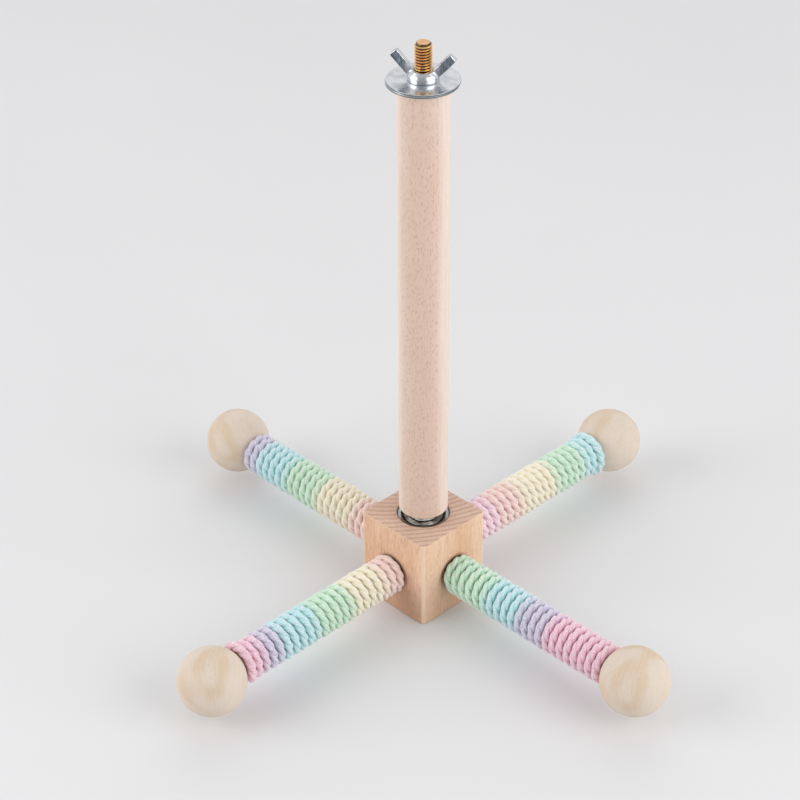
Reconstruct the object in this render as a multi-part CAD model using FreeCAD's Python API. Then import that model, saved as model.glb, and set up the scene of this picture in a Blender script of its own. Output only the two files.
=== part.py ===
import FreeCAD, Part
import math
import os

# A rotating bird perch. Millimetres, +Z up, origin at the centre of the hub's underside.
# The four arms lie along +X, +Y, -X and -Y, numbered 1 to 4 in that order.

V = FreeCAD.Vector

# Post
POST_D = 17.6
POST_L = 168.4
POST_CHAMFER = 0.7

# Hub block
HUB_SIDE = 31.5
HUB_H = 34.8
HUB_EDGE_R = 1.8
HUB_RIM_R = 0.7
POCKET_MOUTH = 0.3
ARM_Z = 16.1

# Ball bearing, its width along Z
BEARING_OD = 19.0
BEARING_BORE = 6.0
BEARING_W = 6.0
BEARING_SINK = 0.7
BEARING_EDGE = 0.4
RACE_BALL_D = 3.5
RACE_BALL_COUNT = 7
RACE_PLAY = 0.07
INNER_SHOULDER_D = 10.2
OUTER_SHOULDER_D = 14.8
SHIELD_SEAT_D = 16.3
SHIELD_SEAT_DEPTH = 1.0
SHIELD_T = 0.3
SHIELD_FLAT_D = 14.0
SHIELD_FLAT_SINK = 0.2
SHIELD_SLOPE = 0.3
SHIELD_PLAY = 0.3
CAGE_WALL = 1.0
CAGE_FOOT = 0.35
CAGE_CROWN = 0.6
POCKET_PLAY = 0.05

# Hanger bolts, machine thread outside the wood and wood thread inside it
STUD_D = 5.9
STUD_CHAMFER = 0.8
STUD_OUT = 14.3
WOOD_THREAD_D = 5.4
WOOD_THREAD_L = 30.0
WOOD_TIP_L = 6.0
WOOD_TIP_D = 1.6
AXLE_TAIL = 1.0

# Nuts on the axle
NUT_FLATS = 10.0
SPACER_NUT_H = 3.2
LOCK_NUT_H = 6.0
LOCK_COLLAR_H = 1.6
LOCK_COLLAR_D = 8.8
NUT_CHAMFER_D = 9.5
NUT_CHAMFER_ANGLE = 30.0

# Room below the bearing for the lock nut
RELIEF_D = 13.6
RELIEF_FLOOR_GAP = 0.8

# Clamp at the top of the post
WASHER_D = 24.4
WASHER_BORE = 6.6
WASHER_T = 0.7
WASHER_EDGE_R = 0.2
LOWER_WASHER_SHIFT = 0.3
LOWER_WASHER_ANGLE = 190.0
WING_BASE_D = 10.6
WING_FOOT_CHAMFER = 0.4
WING_RIM_H = 1.6
WING_SHOULDER_D = 9.6
WING_SHOULDER_H = 2.5
WING_TOP_D = 7.8
WING_NUT_H = 3.5
WING_BODY_R = 0.3
WING_BORE_MOUTH = 0.4
WING_REACH = 11.1
WING_TIP_LOW = 7.7
WING_W = 3.1
WING_T = 2.2
WING_LEAN = 42.0
WING_TIP_R = 0.7
WING_EDGE_R = 0.35
WING_ROOT_DEPTH = 0.9
WING_NUT_YAW = 31.0

# Perch arms
PERCH_COUNT = 4
PERCH_R = 101.7
END_BALL_D = 24.4
DOWEL_D = 8.0
DOWEL_CHAMFER = 0.6
HUB_SOCKET = 8.5
BALL_SOCKET = 10.0

# Rope, wound in one layer from the hub to the ball
ROPE_D = 2.8
ROPE_SIDES = 6
ROPE_LIFT = 0.22
ROPE_TURN_GAP = 0.44
ROPE_END_GAP = 0.25
ROPE_START_ANGLE = 250.0

# Fits
GLUE_GAP = 0.03
THREAD_GAP = 0.05
OVERRUN = 1.0

# Angles and counts that are no sizes
FULL_TURN = 360.0
HALF_TURN_POINTS = 30
X_AXIS = V(1, 0, 0)
Z_AXIS = V(0, 0, 1)
ORIGIN = V(0, 0, 0)

# Heights that follow from the sizes above
BEARING_TOP = HUB_H - BEARING_SINK
BEARING_LOW = BEARING_TOP - BEARING_W
BEARING_MID = BEARING_TOP - BEARING_W / 2
POST_LOW = BEARING_TOP + SPACER_NUT_H
POST_TOP = POST_LOW + POST_L
LOCK_NUT_LOW = BEARING_LOW - LOCK_NUT_H
AXLE_OUT = POST_LOW - LOCK_NUT_LOW + AXLE_TAIL
RELIEF_FLOOR = POST_LOW - AXLE_OUT - RELIEF_FLOOR_GAP
CLAMP_TOP = POST_TOP + 2 * WASHER_T
RACE_R = (BEARING_BORE + BEARING_OD) / 4
GROOVE_R = RACE_BALL_D / 2 + RACE_PLAY


def turned(outline):
    """A solid turned about the Z axis from (radius, height) corners."""
    corners = [V(r, 0, z) for r, z in outline]
    face = Part.Face(Part.makePolygon(corners + corners[:1]))
    return face.revolve(ORIGIN, Z_AXIS, FULL_TURN)


def rod(diameter, low, high):
    """A cylinder about the Z axis."""
    return Part.makeCylinder(diameter / 2, high - low, V(0, 0, low))


def countersink(diameter, face, depth):
    """The cone that breaks the edge of a hole about the Z axis, where it opens in an upper face."""
    radius = diameter / 2
    return turned([
        (0, face - depth),
        (radius, face - depth),
        (radius + depth + OVERRUN, face + OVERRUN),
        (0, face + OVERRUN),
    ])


def edges_at(shape, test):
    """The edges whose vertices all pass a test."""
    return [e for e in shape.Edges if all(test(v.Point) for v in e.Vertexes)]


def round_edges(shape):
    """The whole circles among a shape's edges."""
    return [e for e in shape.Edges if len(e.Vertexes) == 1]


def along_x(shape, height):
    """Lays a shape made along +Z down along +X at a height."""
    laid = shape.copy()
    laid.rotate(ORIGIN, V(0, 1, 0), FULL_TURN / 4)
    laid.translate(V(0, 0, height))
    return laid


def swung(shape, angle):
    """A copy of a shape turned about the Z axis."""
    copy = shape.copy()
    copy.rotate(ORIGIN, Z_AXIS, angle)
    return copy


def hanger_bolt(out_length):
    """A bolt on the Z axis, the wood's face at height 0 and its machine thread above."""
    return turned([
        (0, out_length),
        (STUD_D / 2 - STUD_CHAMFER, out_length),
        (STUD_D / 2, out_length - STUD_CHAMFER),
        (STUD_D / 2, 0),
        (WOOD_THREAD_D / 2, 0),
        (WOOD_THREAD_D / 2, WOOD_TIP_L - WOOD_THREAD_L),
        (WOOD_TIP_D / 2, -WOOD_THREAD_L),
        (0, -WOOD_THREAD_L),
    ])


def top_bolt():
    """The stud that stands out of the post's top."""
    bolt = hanger_bolt(STUD_OUT)
    bolt.translate(V(0, 0, POST_TOP))
    return bolt


def axle_bolt():
    """The stud that hangs out of the post's foot and carries the bearing."""
    bolt = hanger_bolt(AXLE_OUT)
    bolt.rotate(ORIGIN, X_AXIS, FULL_TURN / 2)
    bolt.translate(V(0, 0, POST_LOW))
    return bolt


def post():
    """The dowel, with a pilot hole for a bolt at each end."""
    body = Part.makeCylinder(POST_D / 2, POST_L, V(0, 0, POST_LOW))
    body = body.makeChamfer(POST_CHAMFER, round_edges(body))
    pilot_d = WOOD_THREAD_D + 2 * GLUE_GAP
    pilot_depth = WOOD_THREAD_L + GLUE_GAP
    body = body.cut(rod(pilot_d, POST_LOW - OVERRUN, POST_LOW + pilot_depth))
    return body.cut(rod(pilot_d, POST_TOP - pilot_depth, POST_TOP + OVERRUN))


def hub_block():
    """The cube, with the bearing's pocket in its top and a socket in each side."""
    half = HUB_SIDE / 2
    block = Part.makeBox(HUB_SIDE, HUB_SIDE, HUB_H, V(-half, -half, 0))
    upright = [e for e in block.Edges if abs(e.Vertexes[0].Z - e.Vertexes[1].Z) > HUB_H / 2]
    block = block.makeFillet(HUB_EDGE_R, upright)
    rims = edges_at(block, lambda p: p.z < HUB_RIM_R / 2)
    rims += edges_at(block, lambda p: p.z > HUB_H - HUB_RIM_R / 2)
    block = block.makeFillet(HUB_RIM_R, rims)
    block = block.cut(rod(BEARING_OD + 2 * GLUE_GAP, BEARING_LOW, HUB_H + OVERRUN))
    block = block.cut(rod(RELIEF_D, RELIEF_FLOOR, BEARING_LOW + OVERRUN))
    block = block.cut(countersink(BEARING_OD + 2 * GLUE_GAP, HUB_H, POCKET_MOUTH))
    socket = rod(DOWEL_D + 2 * GLUE_GAP, half - HUB_SOCKET - GLUE_GAP, half + OVERRUN)
    for number in range(PERCH_COUNT):
        block = block.cut(swung(along_x(socket, ARM_Z), number * FULL_TURN / PERCH_COUNT))
    return block


def race_groove():
    """The ring that the balls run in, at mid-height of the bearing."""
    return Part.makeTorus(RACE_R, GROOVE_R, V(0, 0, BEARING_MID))


def bearing_outer_ring():
    """Outer ring, stepped at both faces to seat the shields."""
    outer, seat, shoulder = BEARING_OD / 2, SHIELD_SEAT_D / 2, OUTER_SHOULDER_D / 2
    low, high = BEARING_LOW, BEARING_TOP
    ring = turned([
        (outer, low + BEARING_EDGE),
        (outer, high - BEARING_EDGE),
        (outer - BEARING_EDGE, high),
        (seat, high),
        (seat, high - SHIELD_SEAT_DEPTH),
        (shoulder, high - SHIELD_SEAT_DEPTH),
        (shoulder, low + SHIELD_SEAT_DEPTH),
        (seat, low + SHIELD_SEAT_DEPTH),
        (seat, low),
        (outer - BEARING_EDGE, low),
    ])
    return ring.cut(race_groove())


def bearing_inner_ring():
    """Inner ring, clamped on the axle between the two nuts."""
    bore, shoulder = BEARING_BORE / 2, INNER_SHOULDER_D / 2
    low, high = BEARING_LOW, BEARING_TOP
    ring = turned([
        (bore, low + BEARING_EDGE),
        (bore + BEARING_EDGE, low),
        (shoulder, low),
        (shoulder, high),
        (bore + BEARING_EDGE, high),
        (bore, high - BEARING_EDGE),
    ])
    return ring.cut(race_groove())


def race_balls():
    """The bearing's balls, evenly spaced."""
    balls = []
    for number in range(RACE_BALL_COUNT):
        ball = Part.makeSphere(RACE_BALL_D / 2, V(RACE_R, 0, BEARING_MID))
        balls.append(swung(ball, number * FULL_TURN / RACE_BALL_COUNT))
    return balls


def bearing_cage():
    """Crown cage: a ring below the balls with fingers that rise between them."""
    pocket_r = RACE_BALL_D / 2 + POCKET_PLAY
    low = BEARING_MID - pocket_r - CAGE_FOOT
    high = BEARING_MID + CAGE_CROWN
    ring = rod(2 * RACE_R + CAGE_WALL, low, high)
    ring = ring.cut(rod(2 * RACE_R - CAGE_WALL, low - OVERRUN, high + OVERRUN))
    for number in range(RACE_BALL_COUNT):
        pocket = Part.makeSphere(pocket_r, V(RACE_R, 0, BEARING_MID))
        ring = ring.cut(swung(pocket, number * FULL_TURN / RACE_BALL_COUNT))
    return ring


def bearing_shield():
    """Pressed shield of the upper face: a raised flat inside a sunk rim."""
    inner = INNER_SHOULDER_D / 2 + SHIELD_PLAY
    flat, rim = SHIELD_FLAT_D / 2, SHIELD_SEAT_D / 2 - GLUE_GAP
    flat_top = BEARING_TOP - SHIELD_FLAT_SINK
    rim_low = BEARING_TOP - SHIELD_SEAT_DEPTH
    rim_top = rim_low + SHIELD_T
    return turned([
        (inner, flat_top),
        (flat, flat_top),
        (flat + SHIELD_SLOPE, rim_top),
        (rim, rim_top),
        (rim, rim_low),
        (flat, rim_low),
        (flat - SHIELD_SLOPE, flat_top - SHIELD_T),
        (inner, flat_top - SHIELD_T),
    ])


def lower_shield():
    """The same shield turned over on the lower face."""
    shield = bearing_shield()
    shield.rotate(V(0, 0, BEARING_MID), X_AXIS, FULL_TURN / 2)
    return shield


def hexagon(flats, low, high):
    """A hexagon prism about the Z axis."""
    corner = V(flats / math.sqrt(3), 0, low)
    turns = [FreeCAD.Rotation(Z_AXIS, k * FULL_TURN / 6) for k in range(7)]
    outline = Part.makePolygon([turn.multVec(corner) for turn in turns])
    return Part.Face(outline).extrude(V(0, 0, high - low))


def chamfer_turning(low, high):
    """The turned shape that takes a hexagon's corners off at both ends."""
    outer = NUT_FLATS / math.sqrt(3) + OVERRUN
    rise = (outer - NUT_CHAMFER_D / 2) * math.tan(math.radians(NUT_CHAMFER_ANGLE))
    return turned([
        (0, low),
        (NUT_CHAMFER_D / 2, low),
        (outer, low + rise),
        (outer, high - rise),
        (NUT_CHAMFER_D / 2, high),
        (0, high),
    ])


def hexagon_nut(low, high):
    """A plain nut with chamfered corners."""
    nut = hexagon(NUT_FLATS, low, high).common(chamfer_turning(low, high))
    return nut.cut(rod(STUD_D + 2 * THREAD_GAP, low - OVERRUN, high + OVERRUN))


def lock_nut():
    """A self-locking nut, its collar downwards."""
    collar_top = LOCK_NUT_LOW + LOCK_COLLAR_H
    nut = hexagon(NUT_FLATS, collar_top, BEARING_LOW).common(chamfer_turning(collar_top, BEARING_LOW))
    nut = nut.fuse(rod(LOCK_COLLAR_D, LOCK_NUT_LOW, collar_top))
    bore = rod(STUD_D + 2 * THREAD_GAP, LOCK_NUT_LOW - OVERRUN, BEARING_LOW + OVERRUN)
    return nut.cut(bore).removeSplitter()


def washer(low):
    """A wide washer with rounded rims."""
    disc = rod(WASHER_D, low, low + WASHER_T)
    disc = disc.makeFillet(WASHER_EDGE_R, round_edges(disc))
    return disc.cut(rod(WASHER_BORE, low - OVERRUN, low + WASHER_T + OVERRUN))


def lower_washer():
    """The washer on the post's end, a little off centre on the bolt."""
    ring = washer(POST_TOP)
    angle = math.radians(LOWER_WASHER_ANGLE)
    ring.translate(V(LOWER_WASHER_SHIFT * math.cos(angle), LOWER_WASHER_SHIFT * math.sin(angle), 0))
    return ring


def wing():
    """One wing along +X, a bar that leans outwards, its foot at height 0."""
    lean = math.radians(WING_LEAN)
    along = V(math.sin(lean), 0, math.cos(lean))
    across = V(-math.cos(lean), 0, math.sin(lean))
    tip_low = V(WING_REACH, -WING_T / 2, WING_TIP_LOW)
    tip_high = tip_low + across * WING_W
    root_low = tip_low - along * ((WING_REACH - WING_BASE_D / 2 + WING_ROOT_DEPTH) / math.sin(lean))
    root_high = tip_high - along * ((tip_high.x - WING_TOP_D / 2 + WING_ROOT_DEPTH) / math.sin(lean))
    corners = [root_low, tip_low, tip_high, root_high]
    bar = Part.Face(Part.makePolygon(corners + corners[:1])).extrude(V(0, WING_T, 0))
    tip_edges = edges_at(bar, lambda p: p.z > WING_TIP_LOW - WING_EDGE_R and p.x > tip_high.x - WING_EDGE_R)
    tip_corners = [e for e in tip_edges if abs(e.Vertexes[0].Y - e.Vertexes[1].Y) > WING_T / 2]
    bar = bar.makeFillet(WING_TIP_R, tip_corners)
    side_edges = [e for e in bar.Edges if abs(e.Vertexes[0].Y - e.Vertexes[1].Y) < WING_EDGE_R]
    roots = (root_low.x, root_high.x)
    side_edges = [e for e in side_edges if max(v.X for v in e.Vertexes) > max(roots)]
    return bar.makeFillet(WING_EDGE_R, side_edges)


def wing_nut():
    """A round body with two wings, seated on the upper washer."""
    body = turned([
        (0, 0),
        (WING_BASE_D / 2 - WING_FOOT_CHAMFER, 0),
        (WING_BASE_D / 2, WING_FOOT_CHAMFER),
        (WING_BASE_D / 2, WING_RIM_H),
        (WING_SHOULDER_D / 2, WING_SHOULDER_H),
        (WING_TOP_D / 2, WING_NUT_H),
        (0, WING_NUT_H),
    ])
    soft_edges = [e for e in round_edges(body) if e.Vertexes[0].Z > WING_RIM_H / 2]
    body = body.makeFillet(WING_BODY_R, soft_edges)
    nut = body.fuse([wing(), swung(wing(), FULL_TURN / 2)])
    nut = nut.cut(rod(2 * WING_REACH, -WING_REACH, 0))
    bore_d = STUD_D + 2 * THREAD_GAP
    nut = nut.cut(rod(bore_d, -OVERRUN, WING_TIP_LOW + WING_W))
    nut = nut.cut(countersink(bore_d, WING_NUT_H, WING_BORE_MOUTH))
    nut.rotate(ORIGIN, Z_AXIS, WING_NUT_YAW)
    nut.translate(V(0, 0, CLAMP_TOP))
    return nut


def perch_dowel():
    """The core of one arm, from its socket in the hub to the one in the ball."""
    start = HUB_SIDE / 2 - HUB_SOCKET
    end = PERCH_R - END_BALL_D / 2 + BALL_SOCKET
    core = Part.makeCylinder(DOWEL_D / 2, end - start, V(0, 0, start))
    core = core.makeChamfer(DOWEL_CHAMFER, round_edges(core))
    return along_x(core, ARM_Z)


def end_ball():
    """The ball at an arm's end, with its blind socket."""
    ball = Part.makeSphere(END_BALL_D / 2, V(0, 0, PERCH_R))
    face = PERCH_R - END_BALL_D / 2
    socket = rod(DOWEL_D + 2 * GLUE_GAP, face - OVERRUN, face + BALL_SOCKET + GLUE_GAP)
    return along_x(ball.cut(socket), ARM_Z)


class Winding:
    """Centre line of the rope: a helix about an arm, its turns fitted between hub and ball."""

    def __init__(self):
        self.radius = DOWEL_D / 2 + ROPE_LIFT + ROPE_D / 2
        end_drop = ROPE_D * (ROPE_D + ROPE_TURN_GAP) / (2 * math.pi * self.radius)
        self.start = HUB_SIDE / 2 + ROPE_END_GAP + end_drop + ROPE_D / 2
        reach = END_BALL_D / 2 + ROPE_END_GAP + ROPE_D / 2
        self.end = PERCH_R - math.sqrt(reach ** 2 - self.radius ** 2)
        self.half_turns = int(2 * (self.end - self.start) / (ROPE_D + ROPE_TURN_GAP))
        self.pitch = 2 * (self.end - self.start) / self.half_turns

    def place(self, half_turn):
        """Point and unit tangent after a number of half turns."""
        angle = math.radians(ROPE_START_ANGLE) + half_turn * math.pi
        point = V(
            self.start + half_turn * self.pitch / 2,
            self.radius * math.cos(angle),
            ARM_Z + self.radius * math.sin(angle),
        )
        rise = self.pitch / (2 * math.pi)
        tangent = V(rise, -self.radius * math.sin(angle), self.radius * math.cos(angle))
        return point, tangent.normalize()

    def edges(self):
        """Straight ends one rope thick, and a pair of arcs for each half turn."""
        first, along = self.place(0)
        parts = [Part.LineSegment(first - along * ROPE_D, first).toShape()]
        for half_turn in range(self.half_turns):
            parts += biarc(*self.place(half_turn), *self.place(half_turn + 1))
        last, along = self.place(self.half_turns)
        parts.append(Part.LineSegment(last, last + along * ROPE_D).toShape())
        return parts


def arc_towards(start, control, end):
    """The arc from start to end whose end tangents meet at control."""
    middle = (start + end) * 0.5
    half_chord = (end - start).Length / 2
    height = (control - middle).Length
    bulge = half_chord * math.tan(math.atan2(height, half_chord) / 2)
    crown = middle + (control - middle) * (bulge / height)
    return Part.Arc(start, crown, end).toShape()


def biarc(start, start_dir, end, end_dir):
    """Two arcs, tangent to each other, between two points with given directions."""
    chord = end - start
    spread = 2 * (1 - start_dir.dot(end_dir))
    lean = chord.dot(start_dir + end_dir)
    length = (math.sqrt(lean ** 2 + spread * chord.dot(chord)) - lean) / spread
    first_control = start + start_dir * length
    second_control = end - end_dir * length
    joint = (first_control + second_control) * 0.5
    return [arc_towards(start, first_control, joint), arc_towards(joint, second_control, end)]


def section_across(point, along):
    """The rope's section, a polygon square to its path."""
    side = along.cross(Z_AXIS).normalize()
    other = along.cross(side)
    corners = []
    for k in range(ROPE_SIDES + 1):
        angle = 2 * math.pi * k / ROPE_SIDES
        corners.append(point + (side * math.cos(angle) + other * math.sin(angle)) * (ROPE_D / 2))
    return Part.makePolygon(corners)


def least_gap(path, winding):
    """Least distance of the rope to itself, measured on points along its path."""
    count = winding.half_turns * HALF_TURN_POINTS
    points = path.discretize(Number=count)
    nearest = min(
        (points[i] - points[j]).Length
        for i in range(count)
        for j in range(i + HALF_TURN_POINTS, min(count, i + 4 * HALF_TURN_POINTS))
    )
    return nearest - ROPE_D


def perch_rope():
    """The winding of one arm as one unbroken tube."""
    winding = Winding()
    path = Part.Wire(winding.edges())
    first, along = winding.place(0)
    section = section_across(first - along * ROPE_D, along)
    rope = path.makePipeShell([section], True, False)
    area = Part.Face(section).Area
    turns = winding.half_turns / 2
    print("rope turns %.1f, pitch %.3f mm, length %.0f mm" % (turns, winding.pitch, path.Length))
    print("rope volume %.1f mm3, section times length %.1f mm3" % (rope.Volume, area * path.Length))
    print("rope's least gap to itself %.3f mm" % least_gap(path, winding))
    return rope


def main():
    parts = {
        "post": post(),
        "hanger_bolt": top_bolt(),
        "lower_washer": lower_washer(),
        "upper_washer": washer(POST_TOP + WASHER_T),
        "wing_nut": wing_nut(),
        "axle_bolt": axle_bolt(),
        "spacer_nut": hexagon_nut(BEARING_TOP, POST_LOW),
        "lock_nut": lock_nut(),
        "bearing_inner_ring": bearing_inner_ring(),
        "bearing_outer_ring": bearing_outer_ring(),
        "bearing_balls": Part.makeCompound(race_balls()),
        "bearing_cage": bearing_cage(),
        "bearing_shield_upper": bearing_shield(),
        "bearing_shield_lower": lower_shield(),
        "hub_block": hub_block(),
    }
    arm = {"perch_dowel": perch_dowel(), "perch_rope": perch_rope(), "end_ball": end_ball()}
    for number in range(PERCH_COUNT):
        for name, shape in arm.items():
            parts["%s_%d" % (name, number + 1)] = swung(shape, number * FULL_TURN / PERCH_COUNT)
    os.makedirs("parts", exist_ok=True)
    for name, shape in parts.items():
        shape.exportStep("parts/%s.step" % name)


main()
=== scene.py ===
import math

import bmesh
import bpy
from mathutils import Matrix, Vector, noise


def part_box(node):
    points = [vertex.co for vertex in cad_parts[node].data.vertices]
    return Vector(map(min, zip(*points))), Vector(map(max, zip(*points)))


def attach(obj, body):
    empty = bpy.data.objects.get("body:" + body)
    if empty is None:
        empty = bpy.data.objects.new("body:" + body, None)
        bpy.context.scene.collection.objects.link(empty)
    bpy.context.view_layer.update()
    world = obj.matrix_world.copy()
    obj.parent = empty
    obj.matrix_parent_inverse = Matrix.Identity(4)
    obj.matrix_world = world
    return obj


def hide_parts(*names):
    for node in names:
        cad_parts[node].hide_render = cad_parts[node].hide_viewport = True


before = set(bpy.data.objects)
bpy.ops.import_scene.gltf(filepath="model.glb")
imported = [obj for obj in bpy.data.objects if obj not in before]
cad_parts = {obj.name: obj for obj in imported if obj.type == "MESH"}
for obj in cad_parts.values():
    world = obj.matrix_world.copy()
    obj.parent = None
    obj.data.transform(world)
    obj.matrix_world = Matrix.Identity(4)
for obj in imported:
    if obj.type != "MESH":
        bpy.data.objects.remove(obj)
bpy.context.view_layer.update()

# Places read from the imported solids, in metres
post_low, post_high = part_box("post")
ball_low, ball_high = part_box("end_ball_1")
dowel_low, dowel_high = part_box("perch_dowel_1")
tube_low, tube_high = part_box("perch_rope_1")
BALL_RADIUS = (ball_high.z - ball_low.z) / 2
BALL_REACH = ball_high.x - BALL_RADIUS
ARM_HEIGHT = (ball_low.z + ball_high.z) / 2
DOWEL_RADIUS = (dowel_high.y - dowel_low.y) / 2
ARM_COUNT = 4
ARMS = range(1, ARM_COUNT + 1)
UP = (0, 0, 1)

# The camera of the photograph, standing off the corner between the arms along +X and -Y
CAMERA_AZIMUTH = 45
CAMERA_STAND_OFF = 0.7153
CAMERA_HEIGHT = 0.5614
CAMERA_LENS_MM = 110.96
CAMERA_SENSOR_MM = 36
AIM_HEIGHT = 0.08295
CAMERA_SHIFT = -0.0292
CAMERA_NEAR = 0.01

# Three-strand cotton rope wound on each arm
ROPE_THICK = {1: 0.00325, 2: 0.0035, 3: 0.0035, 4: 0.00325}
SOLID_TUBE_THICK = 0.0028
ROPE_LAY = 0.0105
# Turns pressed together are this much deeper than a round rope, inwards and outwards, on each arm
PACKED_SWELL = {1: 0.00015, 2: 0.00025, 3: 0.00025, 4: 0.00015}
# How far the rope's centreline lies from the middle of each arm
WINDING_MIDDLE = {arm: DOWEL_RADIUS + ROPE_THICK[arm] / 2 + PACKED_SWELL[arm] for arm in ARMS}
# The outside of the two thinner windings
WINDING_RADIUS = WINDING_MIDDLE[1] + ROPE_THICK[1] / 2 + PACKED_SWELL[1]
STRAND_COUNT = 3
STRAND_SHARE = 0.585
STRAND_SIDE_STEPS = 3
WINDING_TURNS = 22
WINDING_START_ANGLE = 250
POINTS_A_TURN = 16
POINTS_BETWEEN = 4
CURVE_ORDER = 4
# Unevenness of a winding, and the steps between its draws by turn, by arm and by direction
WANDER = 0.00012
WANDER_TURN_STEP = 1.7
WANDER_ARM_STEP = 9.1
WANDER_SIDE_STEP = 5.0
# Near the hub and the ball each turn lies square to the arm,
# but for this share of it, where it crosses over
CROSSING_SHARE = 0.3
CROSSING_STEP = 0.9
YARN_COUNT = 6
YARN_TWIST = 0.0065
# The painted shade between the yarns, how far yarns and fluff stand out, and the yarns' share of that
YARN_GROOVES = dict(start=-1.0, end=-0.2, low=0.22, high=0.0)
YARN_DEPTH = 0.00012
YARN_HEIGHT_SHARE = 0.5
# Patterns on the rope, in repeats a metre
BAND_MOTTLE_SCALE = 520.0
FLUFF_SCALE = 2300.0
# How far the mottle moves the edge of a band, as a share of the rope's length
BAND_DRIFT = 0.05
# How much of its dye's plain colour a crease keeps under its painted shade
CREASE_UNSHADED_SHARE = 0.9
# Where a crease gives way to the crest of a turn, from the centreline, in shares of the rope's thickness
CREST_RANGE = (-0.1, 0.5)
# How the pale fluff shows on the crests
FLUFF_SHOWS = dict(start=0.42, end=0.64, low=0.05, high=0.8)
COTTON_ROUGHNESS = dict(start=0.2, end=0.8, low=0.8, high=0.95)
COTTON_GLOSS = 0.2
COTTON_SHEEN = 0.9
COTTON_SHEEN_ROUGHNESS = 0.5

# Patterns of the woods, in repeats a metre, and how far they are drawn out along the grain
WAVER_SCALE = 90.0
CLOUD_SCALE = 60.0
FIBRE_SCALE = 1700.0
BALL_PATCH_SCALE = 88.0
GRAIN_STRETCH = 0.12
FIBRE_STRETCH = 0.07
BALL_PATCH_STRETCH = 0.45
# A growth ring darkens towards its late wood and then stops short
LATE_WOOD_POWER = 6.0
RING_END = (0.99, 0.94)
# How the edge of a fleck fades, and how many of the scattered flecks show
FLECK_EDGE = (0.5, 0.12)
FLECK_CHOICE = (0.15, 0.8)
# The finer flecks as shares of the coarser ones
FINE_FLECK_WIDTH = 0.62
FINE_FLECK_LENGTH = 0.55
FINE_FLECK_STRENGTH = 0.6
# How far the middle of each piece lies from the pith of its wood
POST_FROM_PITH = (0.031, 0.024, 0.0)
HUB_FROM_PITH = (0.0474, -0.0304, 0.0)
BALL_FROM_PITH = (0.006, 0.011, 0.0)
# How the grain of each ball is turned, in radians
BALL_GRAIN_TURNS = {1: (0.5, 0.3, 0.2), 2: (1.1, 0.2, 0.9), 3: (0.3, 1.0, 0.4), 4: (0.9, 0.7, 0.1)}
# Depths of the grain
POST_GRAIN_DEPTH = 0.00005
HUB_GRAIN_DEPTH = 0.00006
BALL_GRAIN_DEPTH = 0.00004
# Gloss of the woods, and the part of the fibres' pattern that their roughness follows
WOOD_GLOSS = 0.35
BALL_GLOSS = 0.4
FIBRE_RANGE = (0.2, 0.8)
# Widths of the growth rings, how far they waver, and sizes of the flecks
POST_FIGURE = {"Ring Width": 0.0042, "Waver": 0.004, "Fleck Width": 0.00044, "Fleck Length": 0.002}
HUB_FIGURE = {"Ring Width": 0.0024, "Waver": 0.0011, "Fleck Width": 0.0005, "Fleck Length": 0.0045}
BALL_FIGURE = {"Ring Width": 0.0016, "Waver": 0.0035, "Fleck Width": 0.0005, "Fleck Length": 0.003}
DOWEL_FIGURE = {"Ring Width": 0.0024, "Waver": 0.0012, "Fleck Width": 0.0007, "Fleck Length": 0.004}
# Where fibres begin to show and show in full, and how strongly
POST_FIBRES = dict(start=0.45, end=0.75, high=0.32)
HUB_FIBRES = dict(start=0.45, end=0.8, high=0.42)
BALL_FIBRES = dict(start=0.45, end=0.8, high=0.25)
# Strength of the growth rings: on the hub's sides and what its end grain adds, and on the balls
# from their pale wood to their cream patches
POST_RING_SHARE = 0.1
HUB_SIDE_RING_SHARE = 0.08
HUB_END_RING_SHARE = 0.88
BALL_RING_SHARES = dict(low=0.12, high=0.36)
# Strength of the flecks, on the post from its pale side to its darker band
POST_FLECK_SHARES = dict(low=0.18, high=0.6)
HUB_FLECK_SHARE = 0.5
BALL_FLECK_SHARE = 0.2
DOWEL_FLECK_SHARE = 0.5
# Roughness across the fibres
POST_ROUGHNESS = dict(low=0.5, high=0.68)
HUB_ROUGHNESS = dict(low=0.48, high=0.66)
BALL_ROUGHNESS = dict(low=0.46, high=0.62)
DOWEL_ROUGHNESS = dict(low=0.5, high=0.7)
# Edges of the hub's clouds of colour and of the balls' patches
HUB_CLOUDS = dict(start=0.35, end=0.65)
BALL_PATCHES = dict(start=0.42, end=0.62)
# How far a face of the hub looks up before it counts as end grain
END_GRAIN_TILT = dict(start=0.6, end=0.9)
# How strongly painted shade darkens the hub's foot, from the sides away from +X and +Y to the other two
HUB_FOOT_SHADE_SHARES = dict(low=0.52, high=0.24)
# Where the hub's rounded edges begin, how strongly a painted highlight lightens them, and how much grain
# that takes away
HUB_CORNER = dict(start=0.2, end=0.48)
HUB_EDGE_HIGHLIGHT_SHARE = 0.8
HUB_EDGE_HIGHLIGHT_GRAIN_LOSS = 0.85
# The side of the post, as an angle from +X, where a darker band shows, and how its edge wanders
DARK_BAND_SIDE = -54
DARK_BAND_EDGE = (0.35, 1.0)
DARK_BAND_DRIFT = 1.5
# Painted shade darkens the hub below this height, and this far round the top of each winding
HUB_SHADE_HEIGHT = 0.018
SOCKET_SHADE_WIDTH = 0.0017
SOCKET_SHADE_SHARE = 0.85

# Wing nut and shields
WING_NUT_RADIUS = 0.0053
WING_NUT_YAW = 31
SHIELD_FLAT_RADIUS = 0.007
SHIELD_STEP_WIDTH = 0.0002
# Where the wings begin, as shares of the nut's radius, and the streaks along them
WING_ROOT = (0.9, 1.2)
WING_STREAK_SLANT = 45
WING_STREAK_STRETCH = 0.2
WING_STREAK_SCALE = 1900.0
WING_STREAK_DEPTH = 0.00006
WING_STREAKS = dict(start=0.35, end=0.7)
# Which faces of the wings count as broad, by how far they look sideways
WING_FACE = dict(start=0.75, end=0.95)
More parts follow.
